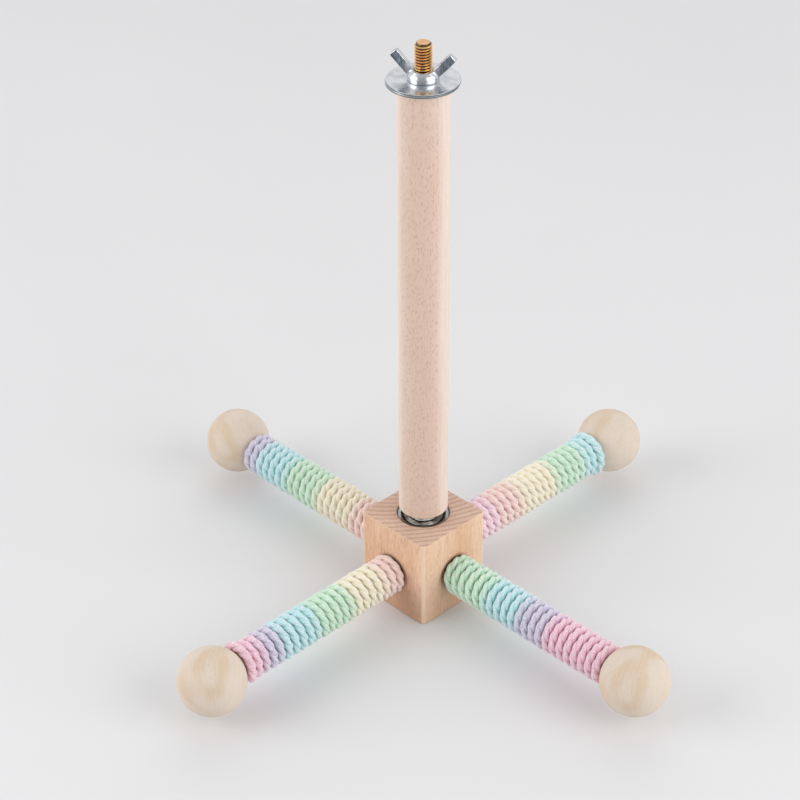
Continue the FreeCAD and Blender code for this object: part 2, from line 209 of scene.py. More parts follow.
# Which faces of a washer count as its cut edge, by how far they look up
WASHER_EDGE = dict(start=0.8, end=0.4)

# Patterns on metal and nylon, in repeats a metre
COARSE_SMUDGES = 260.0
FINE_SMUDGES = 420.0
RUB_SCALE = 3600.0
GOLD_DRIFT_SCALE = 330.0
NYLON_MOTTLE_SCALE = 900.0
# How far rubbed lines are drawn out, and how deep they are
RUB_STRETCH = 0.06
RUB_DEPTH = 0.00001
# The part of the smudges' pattern that changes a metal's colour, and the part that changes its gloss
SMUDGE_RANGE = (0.35, 0.7)
GLOSS_RANGE = (0.3, 0.7)
# Roughness from the cleanest to the most smudged places, and what lines, cut edges and the wings' dark
# faces add to it
ZINC_ROUGHNESS = dict(low=0.2, high=0.38)
WING_ROUGHNESS = dict(low=0.16, high=0.34)
STEEL_ROUGHNESS = dict(low=0.1, high=0.25)
SHIELD_ROUGHNESS = dict(low=0.3, high=0.48)
GOLD_ROUGHNESS = dict(low=0.13, high=0.3)
NYLON_ROUGHNESS = dict(start=0.2, end=0.8, low=0.4, high=0.55)
RUBBED_LINE_SHARE = 0.35
CUT_EDGE_ROUGHNESS = 0.2
WING_DARK_FACE_ROUGHNESS = 0.15

# Painted shade in the threads: how strong it is at the root, how far up the thread it reaches,
# and how far a face may look up before it stays unshaded
ROOT_SHADE_SHARE = 0.9
ROOT_SHADE_REACH = 0.75
ROOT_SHADE_TILT = dict(start=0.92, end=0.98, low=1.0, high=0.0)

# Screw threads of the hanger bolts
MACHINE_PITCH = 0.001
MACHINE_DEPTH = 0.00058
THREAD_ROOT_RADIUS = 0.00237
WOOD_PITCH = 0.0024
WOOD_CREST_RADIUS = 0.0027
WOOD_DEPTH = 0.0008
BOLT_END_CHAMFER = 0.0008
BOLT_POINT_LENGTH = 0.006
BOLT_POINT_SHARE = 0.3
WOOD_THREAD_LENGTH = 0.030
THREAD_STEPS = 40
# Heights of the thread's outline as shares of its pitch, from one root to the next
ROOT_END_SHARE = 0.12
CREST_START_SHARE = 0.44
CREST_END_SHARE = 0.56
ROOT_START_SHARE = 0.88
# Thread edges sharper than this angle, in degrees, stay crisp
THREAD_SHARP_ANGLE = 35
# Points closer than this share of a strand or a pitch become one
MERGE_SHARE = 0.001
# Faces thinner than this share of a pitch are taken away
EMPTY_FACE_SHARE = 0.01

# The studio
FLOOR_RADIUS = 12.0
FLOOR_SIDES = 96
FLOOR_MOTTLE_SCALE = 6.0
FLOOR_ROUGHNESS = 0.8
LOW_SKY_NEAR = (0.3, 0.3, 0.305, 1)
LOW_SKY_FAR = (0.92, 0.92, 0.93, 1)
HIGH_SKY = (0.58, 0.58, 0.585, 1)
# Where the low sky brightens away from the camera, and where the high sky takes over
SKY_SPREAD = (-0.7, 0.5)
SKY_RISE = (0.2, 0.9)


def tone(red, green, blue):
    """A colour given in the eight-bit values of a screen, as the renderer's linear light."""
    def linear(value):
        part = value / 255
        return part / 12.92 if part <= 0.04045 else ((part + 0.055) / 1.055) ** 2.4
    return (linear(red), linear(green), linear(blue), 1.0)


# Colours of the woods
BEECH_PALE = tone(232, 214, 202)
BEECH_DARK_BAND = tone(221, 193, 176)
BEECH_RING = tone(200, 166, 144)
BEECH_FIBRE = tone(209, 180, 160)
BEECH_FLECK = tone(174, 134, 109)
HUB_SIDE_PALE = tone(238, 204, 176)
HUB_SIDE_TAN = tone(227, 186, 153)
HUB_TOP_PALE = tone(222, 194, 175)
HUB_TOP_TAN = tone(212, 180, 159)
# The painted shade on the hub's foot
HUB_FOOT_SHADE = tone(190, 138, 106)
# The painted highlight on the hub's rounded edges
HUB_EDGE_HIGHLIGHT = tone(243, 212, 184)
HUB_RING = tone(136, 84, 62)
HUB_FIBRE = tone(190, 136, 99)
HUB_FLECK = tone(165, 108, 76)
# The painted shade round the top of each winding
HUB_SOCKET_SHADE = tone(88, 52, 36)
BALL_PALE = tone(220, 206, 191)
BALL_CREAM = tone(214, 190, 162)
BALL_RING = tone(196, 164, 132)
BALL_FIBRE = tone(207, 182, 157)
BALL_FLECK = tone(186, 154, 124)
DOWEL_PALE = tone(226, 204, 184)
DOWEL_TAN = tone(209, 180, 154)
DOWEL_FLECK = tone(180, 142, 112)

# Colours of the metals, the ball cage and the floor
ZINC_BRIGHT = tone(236, 238, 240)
ZINC_DULL = tone(213, 216, 220)
ZINC_CUT_EDGE = tone(122, 128, 132)
WING_BRIGHT = tone(218, 221, 224)
WING_DULL = tone(196, 200, 205)
# The painted dark reflection on the wings
WING_DARK_REFLECTION = tone(86, 96, 106)
WING_STREAK = tone(150, 160, 170)
STEEL_BRIGHT = tone(205, 206, 207)
STEEL_DULL = tone(176, 178, 180)
SHIELD_PALE = tone(178, 174, 166)
SHIELD_DULL = tone(148, 145, 138)
# The painted shade in the shields' sunk rims
SHIELD_RIM_SHADE = tone(52, 46, 40)
GOLD_STOPS = ((0.25, tone(234, 174, 110)), (0.45, tone(250, 212, 146)),
              (0.6, tone(244, 186, 138)), (0.75, tone(240, 204, 136)))
# The painted shade in the thread roots
THREAD_ROOT_SHADE = tone(72, 42, 28)
NYLON_PALE = tone(232, 226, 208)
NYLON_TAN = tone(214, 206, 184)
FLOOR_PALE = tone(228, 228, 229)
FLOOR_GREY = tone(224, 224, 225)

# Dyes of the rope and the colour of its fluff
COTTON_FLUFF = tone(248, 243, 243)
ROSE = tone(238, 184, 205)
BLUSH = tone(241, 207, 222)
SALMON = tone(241, 206, 197)
LEMON = tone(241, 233, 201)
MINT = tone(188, 229, 196)
SKY = tone(174, 226, 230)
LILAC = tone(195, 189, 215)

# Colour bands of each winding from the hub outwards, with their turns
WINDING_BANDS = {
    1: ((MINT, 5.9), (SKY, 4.5), (LILAC, 3.9), (ROSE, 7.7)),
    2: ((BLUSH, 5.2), (SALMON, 3.6), (LEMON, 5.8), (MINT, 4.7), (SKY, 2.7)),
    3: ((BLUSH, 1.1), (SALMON, 3.6), (LEMON, 5.4), (MINT, 5.1), (SKY, 4.7), (LILAC, 2.1)),
    4: ((SALMON, 2.5), (LEMON, 4.6), (MINT, 4.9), (SKY, 4.9), (LILAC, 2.4), (ROSE, 2.7)),
}
BAND_BLEND_TURNS = 1.3

# How far the last turns at the ball stand out from the rest of a winding
END_SWELL = {1: 0.0, 2: 0.0011, 3: 0.0, 4: 0.001}
SWELL_TURNS = 1.4


def feed(tree, made, feeds):
    """Feeds a node's sockets with values or with other nodes' outputs."""
    for key, value in feeds.items():
        if isinstance(value, bpy.types.NodeSocket):
            tree.links.new(value, made.inputs[key])
        else:
            made.inputs[key].default_value = value


def put(tree, kind, feeds=None, **settings):
    """Adds a node, sets it up and feeds it."""
    made = tree.nodes.new("ShaderNode" + kind)
    for key, value in settings.items():
        setattr(made, key, value)
    feed(tree, made, feeds or {})
    return made


def calc(tree, operation, *values):
    """The result of one Math node."""
    return put(tree, "Math", dict(enumerate(values)), operation=operation).outputs[0]


def about_zero(tree, value):
    """A noise value moved so that its middle is 0."""
    return calc(tree, "SUBTRACT", value, 0.5)


def fade(tree, value, start, end, low=0.0, high=1.0):
    """A smooth step of a value between two ends."""
    feeds = {"Value": value, "From Min": start, "From Max": end, "To Min": low, "To Max": high}
    return put(tree, "MapRange", feeds, interpolation_type="SMOOTHSTEP").outputs["Result"]


def tint(tree, share, first, second, mode="MIX"):
    """Two colours mixed by a share."""
    feeds = {"Factor": share, 6: first, 7: second}
    made = put(tree, "Mix", feeds, data_type="RGBA", blend_type=mode)
    return made.outputs[2]


def place(tree, location=(0, 0, 0), rotation=(0, 0, 0), scale=(1, 1, 1), vector=None):
    """Object coordinates, or another vector, moved, turned and scaled for a pattern."""
    if vector is None:
        vector = put(tree, "TexCoord").outputs["Object"]
    feeds = {"Vector": vector, "Location": location, "Rotation": rotation, "Scale": scale}
    return put(tree, "Mapping", feeds).outputs["Vector"]


def speckle(tree, vector, scale, detail=3.0, roughness=0.55):
    """The value of a Noise Texture."""
    feeds = {"Vector": vector, "Scale": scale, "Detail": detail, "Roughness": roughness}
    return put(tree, "TexNoise", feeds).outputs["Fac"]


def ramp(tree, share, stops):
    """Colours along a ramp, from pairs of a position and a colour."""
    made = put(tree, "ValToRGB", {"Fac": share})
    elements = made.color_ramp.elements
    while len(elements) < len(stops):
        elements.new(1.0)
    for element, (position, colour) in zip(elements, stops):
        element.position = position
        element.color = colour
    return made.outputs["Color"]


def new_material(name):
    """A new material, its node tree and its shader node."""
    material = bpy.data.materials.new(name)
    material.use_nodes = True
    shader = material.node_tree.nodes["Principled BSDF"]
    return material, material.node_tree, shader


def bump(tree, shader, height, distance, strength):
    """Lets a height move the shading of a surface."""
    made = put(tree, "Bump", {"Height": height, "Distance": distance, "Strength": strength})
    tree.links.new(made.outputs["Normal"], shader.inputs["Normal"])


def shared_group(name, inputs, outputs):
    """A node group with named inputs and outputs, and the nodes at its two ends."""
    group = bpy.data.node_groups.new(name, "ShaderNodeTree")
    for way, sockets in (("INPUT", inputs), ("OUTPUT", outputs)):
        for label, kind in sockets:
            group.interface.new_socket(label, in_out=way, socket_type="NodeSocket" + kind)
    return group, group.nodes.new("NodeGroupInput"), group.nodes.new("NodeGroupOutput")


def use_group(tree, group, feeds):
    """One use of a shared group, as its outputs."""
    made = tree.nodes.new("ShaderNodeGroup")
    made.node_tree = group
    feed(tree, made, feeds)
    return made.outputs


def dashes(tree, vector, width, length):
    """Short strokes along Z, scattered and of unequal strength."""
    across = calc(tree, "DIVIDE", 1.0, width)
    along = calc(tree, "DIVIDE", 1.0, length)
    stretch = put(tree, "CombineXYZ", {0: across, 1: across, 2: along}).outputs[0]
    cells = put(tree, "VectorMath", {0: vector, 1: stretch}, operation="MULTIPLY").outputs[0]
    spots = put(tree, "TexVoronoi", {"Vector": cells, "Scale": 1.0, "Randomness": 1.0}).outputs
    chosen = put(tree, "SeparateColor", {0: spots["Color"]}).outputs[0]
    strokes = fade(tree, spots["Distance"], *FLECK_EDGE)
    return calc(tree, "MULTIPLY", strokes, fade(tree, chosen, *FLECK_CHOICE))


def wood_figure_group():
    """Growth rings about the Z axis, fibres along it and the short dark flecks between them."""
    group, given, result = shared_group(
        "wood_figure",
        [("Vector", "Vector"), ("Ring Width", "Float"), ("Waver", "Float"),
         ("Fleck Width", "Float"), ("Fleck Length", "Float")],
        [("Rings", "Float"), ("Fibre", "Float"), ("Flecks", "Float"), ("Clouds", "Float")])
    vector = given.outputs["Vector"]
    drawn_out = place(group, scale=(1.0, 1.0, GRAIN_STRETCH), vector=vector)
    waver = speckle(group, drawn_out, WAVER_SCALE, detail=2.0)
    parts = put(group, "SeparateXYZ", {0: vector}).outputs
    flat = put(group, "CombineXYZ", {0: parts["X"], 1: parts["Y"], 2: 0.0}).outputs[0]
    radius = put(group, "VectorMath", {0: flat}, operation="LENGTH").outputs["Value"]
    shift = calc(group, "MULTIPLY", about_zero(group, waver), given.outputs["Waver"])
    year = calc(group, "DIVIDE", calc(group, "ADD", radius, shift), given.outputs["Ring Width"])
    season = calc(group, "FRACT", year)
    late = calc(group, "POWER", season, LATE_WOOD_POWER)
    rings = calc(group, "MULTIPLY", late, fade(group, season, *RING_END))
    group.links.new(rings, result.inputs["Rings"])
    lengthwise = place(group, scale=(1.0, 1.0, FIBRE_STRETCH), vector=vector)
    fibre = speckle(group, lengthwise, FIBRE_SCALE, detail=4.0, roughness=0.65)
    group.links.new(fibre, result.inputs["Fibre"])
    coarse = dashes(group, vector, given.outputs["Fleck Width"], given.outputs["Fleck Length"])
    narrow = calc(group, "MULTIPLY", given.outputs["Fleck Width"], FINE_FLECK_WIDTH)
    short = calc(group, "MULTIPLY", given.outputs["Fleck Length"], FINE_FLECK_LENGTH)
    fine = calc(group, "MULTIPLY", dashes(group, vector, narrow, short), FINE_FLECK_STRENGTH)
    group.links.new(calc(group, "MAXIMUM", coarse, fine), result.inputs["Flecks"])
    clouds = speckle(group, drawn_out, CLOUD_SCALE)
    group.links.new(clouds, result.inputs["Clouds"])
    return group


def handled_metal_group():
    """Soft smudges and fine rubbed lines on plated metal."""
    group, given, result = shared_group(
        "handled_metal",
        [("Vector", "Vector"), ("Smudge Scale", "Float")],
        [("Smudges", "Float"), ("Lines", "Float")])
    vector = given.outputs["Vector"]
    smudges = speckle(group, vector, given.outputs["Smudge Scale"], detail=4.0, roughness=0.6)
    group.links.new(smudges, result.inputs["Smudges"])
    lines = speckle(group, place(group, scale=(1.0, RUB_STRETCH, 1.0), vector=vector), RUB_SCALE)
    group.links.new(lines, result.inputs["Lines"])
    return group


wood_figure = wood_figure_group()
handled_metal = handled_metal_group()


def axis_distance(tree, across, height=0.0):
    """The distance from a line through the part's axis at a height, given the two directions across it."""
    centred = place(tree, location=(0, 0, -height))
    flat = put(tree, "VectorMath", {0: centred, 1: across}, operation="MULTIPLY").outputs[0]
    return put(tree, "VectorMath", {0: flat}, operation="LENGTH").outputs["Value"]


def extent_along(tree, source, direction):
    """How far a piece's points or normals lie along a direction."""
    vector = put(tree, "TexCoord").outputs[source]
    return put(tree, "VectorMath", {0: vector, 1: direction}, operation="DOT_PRODUCT").outputs["Value"]


def fibre_roughness(tree, shader, figure, roughness):
    """Roughness that follows a wood's fibres."""
    tree.links.new(fade(tree, figure["Fibre"], *FIBRE_RANGE, **roughness), shader.inputs["Roughness"])


def rubbed_shine(tree, shader, rubbed, strength=0.2):
    """Makes a surface metal with faint rubbed lines."""
    shader.inputs["Metallic"].default_value = 1.0
    bump(tree, shader, rubbed["Lines"], RUB_DEPTH, strength)


def turned_beech():
    """The post: pale pinkish beech with fine flecks along it."""
    material, tree, shader = new_material("turned_beech")
    vector = place(tree, location=POST_FROM_PITH)
    figure = use_group(tree, wood_figure, {"Vector": vector, **POST_FIGURE})
    # A darker band, with stronger flecks, on the side turned almost towards the camera
    angle = math.radians(DARK_BAND_SIDE)
    facing = extent_along(tree, "Object", (math.cos(angle), math.sin(angle), 0))
    turned_to = calc(tree, "DIVIDE", facing, (post_high.x - post_low.x) / 2)
    drift = calc(tree, "MULTIPLY", about_zero(tree, figure["Clouds"]), DARK_BAND_DRIFT)
    dark_band = fade(tree, calc(tree, "ADD", turned_to, drift), *DARK_BAND_EDGE)
    ground = tint(tree, dark_band, BEECH_PALE, BEECH_DARK_BAND)
    ringed = tint(tree, calc(tree, "MULTIPLY", figure["Rings"], POST_RING_SHARE), ground, BEECH_RING)
    fibres = tint(tree, fade(tree, figure["Fibre"], **POST_FIBRES), ringed, BEECH_FIBRE)
    strokes = calc(tree, "MULTIPLY", figure["Flecks"], fade(tree, dark_band, 0.0, 1.0, **POST_FLECK_SHARES))
    tree.links.new(tint(tree, strokes, fibres, BEECH_FLECK), shader.inputs["Base Color"])
    fibre_roughness(tree, shader, figure, POST_ROUGHNESS)
    shader.inputs["Specular IOR Level"].default_value = WOOD_GLOSS
    grain = calc(tree, "SUBTRACT", figure["Fibre"], figure["Flecks"])
    bump(tree, shader, grain, POST_GRAIN_DEPTH, strength=0.35)
    return material


def hub_timber():
    """The hub: warm tan wood with upright grain and dark growth lines on its end grain."""
    material, tree, shader = new_material("hub_timber")
    vector = place(tree, location=HUB_FROM_PITH)
    figure = use_group(tree, wood_figure, {"Vector": vector, **HUB_FIGURE})
    facing = put(tree, "SeparateXYZ", {0: put(tree, "TexCoord").outputs["Normal"]}).outputs
    height = extent_along(tree, "Object", UP)
    end_grain = fade(tree, calc(tree, "ABSOLUTE", facing["Z"]), **END_GRAIN_TILT)
    clouds = fade(tree, figure["Clouds"], **HUB_CLOUDS)
    side = tint(tree, clouds, HUB_SIDE_PALE, HUB_SIDE_TAN)
    top = tint(tree, clouds, HUB_TOP_PALE, HUB_TOP_TAN)
    # Painted shade darkens the foot, most of all on the two sides away from +X and +Y
    shaded_sides = fade(tree, calc(tree, "ADD", facing["X"], facing["Y"]), -1.0, 1.0, **HUB_FOOT_SHADE_SHARES)
    foot = calc(tree, "MULTIPLY", shaded_sides, fade(tree, height, 0.0, HUB_SHADE_HEIGHT, low=1.0, high=0.0))
    deep = tint(tree, foot, side, HUB_FOOT_SHADE)
    # A painted highlight lightens the rounded upright edges and hides most of their grain
    both_ways = calc(tree, "ABSOLUTE", calc(tree, "MULTIPLY", facing["X"], facing["Y"]))
    corner = fade(tree, both_ways, **HUB_CORNER)
    edge_lit = tint(tree, calc(tree, "MULTIPLY", corner, HUB_EDGE_HIGHLIGHT_SHARE), deep, HUB_EDGE_HIGHLIGHT)
    ground = tint(tree, end_grain, edge_lit, top)
    end_share = calc(tree, "MULTIPLY", end_grain, HUB_END_RING_SHARE)
    line_share = calc(tree, "ADD", HUB_SIDE_RING_SHARE, end_share)
    ringed = tint(tree, calc(tree, "MULTIPLY", figure["Rings"], line_share), ground, HUB_RING)
    inner = calc(tree, "SUBTRACT", 1.0, calc(tree, "MULTIPLY", corner, HUB_EDGE_HIGHLIGHT_GRAIN_LOSS))
    grain = calc(tree, "MULTIPLY", inner, fade(tree, figure["Fibre"], **HUB_FIBRES))
    fibres = tint(tree, grain, ringed, HUB_FIBRE)
    strokes = calc(tree, "MULTIPLY", inner, calc(tree, "MULTIPLY", figure["Flecks"], HUB_FLECK_SHARE))
    flecked = tint(tree, strokes, fibres, HUB_FLECK)
    # Painted shade: a dark line over the top of each winding, where it meets the hub, stands in for the
    # shadow in the gap
    round_x = axis_distance(tree, (0, 1, 1), ARM_HEIGHT)
    round_y = axis_distance(tree, (1, 0, 1), ARM_HEIGHT)
    nearest = calc(tree, "MINIMUM", round_x, round_y)
    close_by = fade(tree, nearest, WINDING_RADIUS - SOCKET_SHADE_WIDTH,
                    WINDING_RADIUS + SOCKET_SHADE_WIDTH / 3, low=SOCKET_SHADE_SHARE, high=0.0)
    upper = fade(tree, height, ARM_HEIGHT - WINDING_RADIUS, ARM_HEIGHT + WINDING_RADIUS / 2)
    socket = calc(tree, "MULTIPLY", close_by, upper)
    tree.links.new(tint(tree, socket, flecked, HUB_SOCKET_SHADE), shader.inputs["Base Color"])
    fibre_roughness(tree, shader, figure, HUB_ROUGHNESS)
    shader.inputs["Specular IOR Level"].default_value = WOOD_GLOSS
    relief = calc(tree, "SUBTRACT", figure["Fibre"], figure["Rings"])
    bump(tree, shader, relief, HUB_GRAIN_DEPTH, strength=0.35)
    return material


def ball_timber(arm, centre, turn):
    """One end ball: pale cream wood, its soft grain turned its own way."""
    material, tree, shader = new_material(f"ball_timber_{arm}")
    local = place(tree, location=tuple(-value for value in centre))
    vector = place(tree, location=BALL_FROM_PITH, rotation=turn, vector=local)
    figure = use_group(tree, wood_figure, {"Vector": vector, **BALL_FIGURE})
    drawn_out = place(tree, scale=(1.0, 1.0, BALL_PATCH_STRETCH), vector=vector)
    patches = fade(tree, speckle(tree, drawn_out, BALL_PATCH_SCALE, detail=1.5), **BALL_PATCHES)
    ground = tint(tree, patches, BALL_PALE, BALL_CREAM)
    lines = calc(tree, "MULTIPLY", figure["Rings"], fade(tree, patches, 0.0, 1.0, **BALL_RING_SHARES))
    ringed = tint(tree, lines, ground, BALL_RING)
    fibres = tint(tree, fade(tree, figure["Fibre"], **BALL_FIBRES), ringed, BALL_FIBRE)
    flecked = tint(tree, calc(tree, "MULTIPLY", figure["Flecks"], BALL_FLECK_SHARE), fibres, BALL_FLECK)
    tree.links.new(flecked, shader.inputs["Base Color"])
    fibre_roughness(tree, shader, figure, BALL_ROUGHNESS)
    shader.inputs["Specular IOR Level"].default_value = BALL_GLOSS
    bump(tree, shader, figure["Fibre"], BALL_GRAIN_DEPTH, strength=0.3)
    return material


def dowel_timber():
    """The arm cores, hidden by the rope but for their ends."""
    material, tree, shader = new_material("dowel_timber")
    vector = place(tree, rotation=(0, math.pi / 2, 0))
    figure = use_group(tree, wood_figure, {"Vector": vector, **DOWEL_FIGURE})
    ground = tint(tree, figure["Clouds"], DOWEL_PALE, DOWEL_TAN)
    flecked = tint(tree, calc(tree, "MULTIPLY", figure["Flecks"], DOWEL_FLECK_SHARE), ground, DOWEL_FLECK)
    tree.links.new(flecked, shader.inputs["Base Color"])
    fibre_roughness(tree, shader, figure, DOWEL_ROUGHNESS)
    return material


def plated_metal(name, bright, dull, roughness, smudge_scale):
    """Plated or ground metal with smudges in its gloss."""
    material, tree, shader = new_material(name)
    rubbed = use_group(tree, handled_metal, {"Vector": place(tree), "Smudge Scale": smudge_scale})
    share = fade(tree, rubbed["Smudges"], *SMUDGE_RANGE)
    tree.links.new(tint(tree, share, bright, dull), shader.inputs["Base Color"])
    lined = calc(tree, "ADD", share, calc(tree, "MULTIPLY", rubbed["Lines"], RUBBED_LINE_SHARE))
    rough = fade(tree, lined, 0.0, 1.0 + RUBBED_LINE_SHARE, **roughness)
    tree.links.new(rough, shader.inputs["Roughness"])
    rubbed_shine(tree, shader, rubbed)
    return material


def washer_zinc():
    """The cage washers: bright mottled faces and dull cut edges."""
    material, tree, shader = new_material("washer_zinc")
    rubbed = use_group(tree, handled_metal, {"Vector": place(tree), "Smudge Scale": COARSE_SMUDGES})
    share = fade(tree, rubbed["Smudges"], *SMUDGE_RANGE)
    edge = fade(tree, calc(tree, "ABSOLUTE", extent_along(tree, "Normal", UP)), **WASHER_EDGE)
    face = tint(tree, share, ZINC_BRIGHT, ZINC_DULL)
    tree.links.new(tint(tree, edge, face, ZINC_CUT_EDGE), shader.inputs["Base Color"])
    rough = fade(tree, share, 0.0, 1.0, **ZINC_ROUGHNESS)
    dulled = calc(tree, "ADD", rough, calc(tree, "MULTIPLY", edge, CUT_EDGE_ROUGHNESS))
    tree.links.new(dulled, shader.inputs["Roughness"])
    rubbed_shine(tree, shader, rubbed)
    return material


def wing_zinc(yaw):
    """The wing nut: bright zinc, with a painted dark reflection, streaked, on the broad faces of its
    wings.
    """
    material, tree, shader = new_material("wing_zinc")
    turned = place(tree, rotation=(0, 0, -yaw))
    rubbed = use_group(tree, handled_metal, {"Vector": turned, "Smudge Scale": FINE_SMUDGES})
    side = extent_along(tree, "Normal", (-math.sin(yaw), math.cos(yaw), 0))
    broad = fade(tree, calc(tree, "ABSOLUTE", side), **WING_FACE)
    out = calc(tree, "ABSOLUTE", put(tree, "SeparateXYZ", {0: turned}).outputs["X"])
    beyond_nut = fade(tree, calc(tree, "DIVIDE", out, WING_NUT_RADIUS), *WING_ROOT)
    wings = calc(tree, "MULTIPLY", broad, beyond_nut)
    lengthwise = place(tree, rotation=(0, math.radians(WING_STREAK_SLANT), 0),
                       scale=(1.0, 1.0, WING_STREAK_STRETCH), vector=turned)
    streaks = fade(tree, speckle(tree, lengthwise, WING_STREAK_SCALE), **WING_STREAKS)
    clean = tint(tree, fade(tree, rubbed["Smudges"], *SMUDGE_RANGE), WING_BRIGHT, WING_DULL)
    # Painted reflection: the wings' broad faces are darkened as if they mirrored dark surroundings,
    # streaked like a rough finish
    dark_faces = tint(tree, streaks, WING_DARK_REFLECTION, WING_STREAK)
    tree.links.new(tint(tree, wings, clean, dark_faces), shader.inputs["Base Color"])
    rough = fade(tree, rubbed["Smudges"], *GLOSS_RANGE, **WING_ROUGHNESS)
    streaked = calc(tree, "ADD", rough, calc(tree, "MULTIPLY", wings, WING_DARK_FACE_ROUGHNESS))
    tree.links.new(streaked, shader.inputs["Roughness"])
    shader.inputs["Metallic"].default_value = 1.0
    bump(tree, shader, calc(tree, "MULTIPLY", streaks, wings), WING_STREAK_DEPTH, strength=0.4)
    return material


def shield_steel():
    """The bearing's shields: pale pressed flat, with painted shade in the sunk rim round it."""
    material, tree, shader = new_material("shield_steel")
    rubbed = use_group(tree, handled_metal, {"Vector": place(tree), "Smudge Scale": FINE_SMUDGES})
    radius = axis_distance(tree, (1, 1, 0))
    # Painted shade darkens the sunk rim beyond the flat
    rim = fade(tree, radius, SHIELD_FLAT_RADIUS, SHIELD_FLAT_RADIUS + SHIELD_STEP_WIDTH)
    clean = tint(tree, fade(tree, rubbed["Smudges"], *SMUDGE_RANGE), SHIELD_PALE, SHIELD_DULL)
    tree.links.new(tint(tree, rim, clean, SHIELD_RIM_SHADE), shader.inputs["Base Color"])
    rough = fade(tree, rubbed["Smudges"], *GLOSS_RANGE, **SHIELD_ROUGHNESS)
    tree.links.new(rough, shader.inputs["Roughness"])
    rubbed_shine(tree, shader, rubbed)
    return material


def yellow_zinc():
    """The hanger bolts: gold passivation that drifts to orange and rose, with painted shade in the
    threads.
    """
    material, tree, shader = new_material("yellow_zinc")
    vector = place(tree)
    rubbed = use_group(tree, handled_metal, {"Vector": vector, "Smudge Scale": FINE_SMUDGES})
    gold = ramp(tree, speckle(tree, vector, GOLD_DRIFT_SCALE, detail=2.0), GOLD_STOPS)
    radius = axis_distance(tree, (1, 1, 0))
    # Painted shade darkens the thread roots, but not faces that look up
    root_end = THREAD_ROOT_RADIUS + MACHINE_DEPTH * ROOT_SHADE_REACH
    root = fade(tree, radius, THREAD_ROOT_RADIUS, root_end, low=ROOT_SHADE_SHARE, high=0.0)
    level = calc(tree, "ABSOLUTE", extent_along(tree, "Normal", UP))
    shaded_roots = calc(tree, "MULTIPLY", root, fade(tree, level, **ROOT_SHADE_TILT))
    tree.links.new(tint(tree, shaded_roots, gold, THREAD_ROOT_SHADE), shader.inputs["Base Color"])
    rough = fade(tree, rubbed["Smudges"], *GLOSS_RANGE, **GOLD_ROUGHNESS)
    tree.links.new(rough, shader.inputs["Roughness"])
    rubbed_shine(tree, shader, rubbed, strength=0.15)
    return material


def cage_nylon():
    """The bearing's ball cage."""
    material, tree, shader = new_material("cage_nylon")
    mottle = speckle(tree, place(tree), NYLON_MOTTLE_SCALE)
    tree.links.new(tint(tree, mottle, NYLON_PALE, NYLON_TAN), shader.inputs["Base Color"])
    tree.links.new(fade(tree, mottle, **NYLON_ROUGHNESS), shader.inputs["Roughness"])
    return material


def dyed_cotton(arm):
    """The rope of one arm: pastel bands along it, twisted yarns, and painted shade in its creases and
    between its yarns.
    """
    material, tree, shader = new_material(f"dyed_cotton_{arm}")
    coords = put(tree, "TexCoord").outputs
    parts = put(tree, "SeparateXYZ", {0: coords["UV"]}).outputs
    mottle = speckle(tree, coords["Object"], BAND_MOTTLE_SCALE)
    drift = calc(tree, "MULTIPLY", about_zero(tree, mottle), BAND_DRIFT)
    stops = []
    done = 0.0
    for colour, turns in WINDING_BANDS[arm]:
        edge = min(BAND_BLEND_TURNS, turns) / 2
        stops.append(((done + edge) / WINDING_TURNS, colour))
        stops.append(((done + turns - edge) / WINDING_TURNS, colour))
        done += turns
    dye = ramp(tree, calc(tree, "ADD", parts["X"], drift), stops)
    # Arms 1 and 3 lie along X, arms 2 and 4 along Y
    radius = axis_distance(tree, (0, 1, 1) if arm % 2 else (1, 0, 1), ARM_HEIGHT)
    crest_start, crest_end = (WINDING_MIDDLE[arm] + share * ROPE_THICK[arm] for share in CREST_RANGE)
    crest = fade(tree, radius, crest_start, crest_end)
    # Painted shade: a deeper copy of the dye darkens the creases between turns and the grooves between
    # yarns
    deep = tint(tree, 1.0, dye, dye, "MULTIPLY")
    colour = tint(tree, fade(tree, crest, 0.0, 1.0, low=CREASE_UNSHADED_SHARE), deep, dye)
    length = WINDING_TURNS * math.tau * WINDING_MIDDLE[arm]
    twist = calc(tree, "MULTIPLY", parts["X"], YARN_COUNT * length / YARN_TWIST)
    wave = calc(tree, "ADD", twist, calc(tree, "MULTIPLY", parts["Y"], YARN_COUNT))
    yarns = calc(tree, "SINE", calc(tree, "MULTIPLY", wave, math.tau))
    fluff = speckle(tree, coords["Object"], FLUFF_SCALE, roughness=0.65)
    fuzz = calc(tree, "MULTIPLY", crest, fade(tree, fluff, **FLUFF_SHOWS))
    pale = tint(tree, fuzz, colour, COTTON_FLUFF)
    lit = tint(tree, fade(tree, yarns, **YARN_GROOVES), pale, deep)
    tree.links.new(lit, shader.inputs["Base Color"])
    tree.links.new(fade(tree, fluff, **COTTON_ROUGHNESS), shader.inputs["Roughness"])
    shader.inputs["Specular IOR Level"].default_value = COTTON_GLOSS
    shader.inputs["Sheen Weight"].default_value = COTTON_SHEEN
    shader.inputs["Sheen Roughness"].default_value = COTTON_SHEEN_ROUGHNESS
    height = calc(tree, "ADD", calc(tree, "MULTIPLY", yarns, YARN_HEIGHT_SHARE), fluff)
    bump(tree, shader, height, YARN_DEPTH, strength=0.7)
    return material


def arm_turn(arm):
    """How far an arm is turned from +X."""
    return math.tau * (arm - 1) / ARM_COUNT


def new_object(name, data, body, material):
    """Puts a finished piece in the scene, on its body."""
    made = bpy.data.objects.new(name, data)
    bpy.context.scene.collection.objects.link(made)
    data.materials.append(material)
    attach(made, body)
    return made


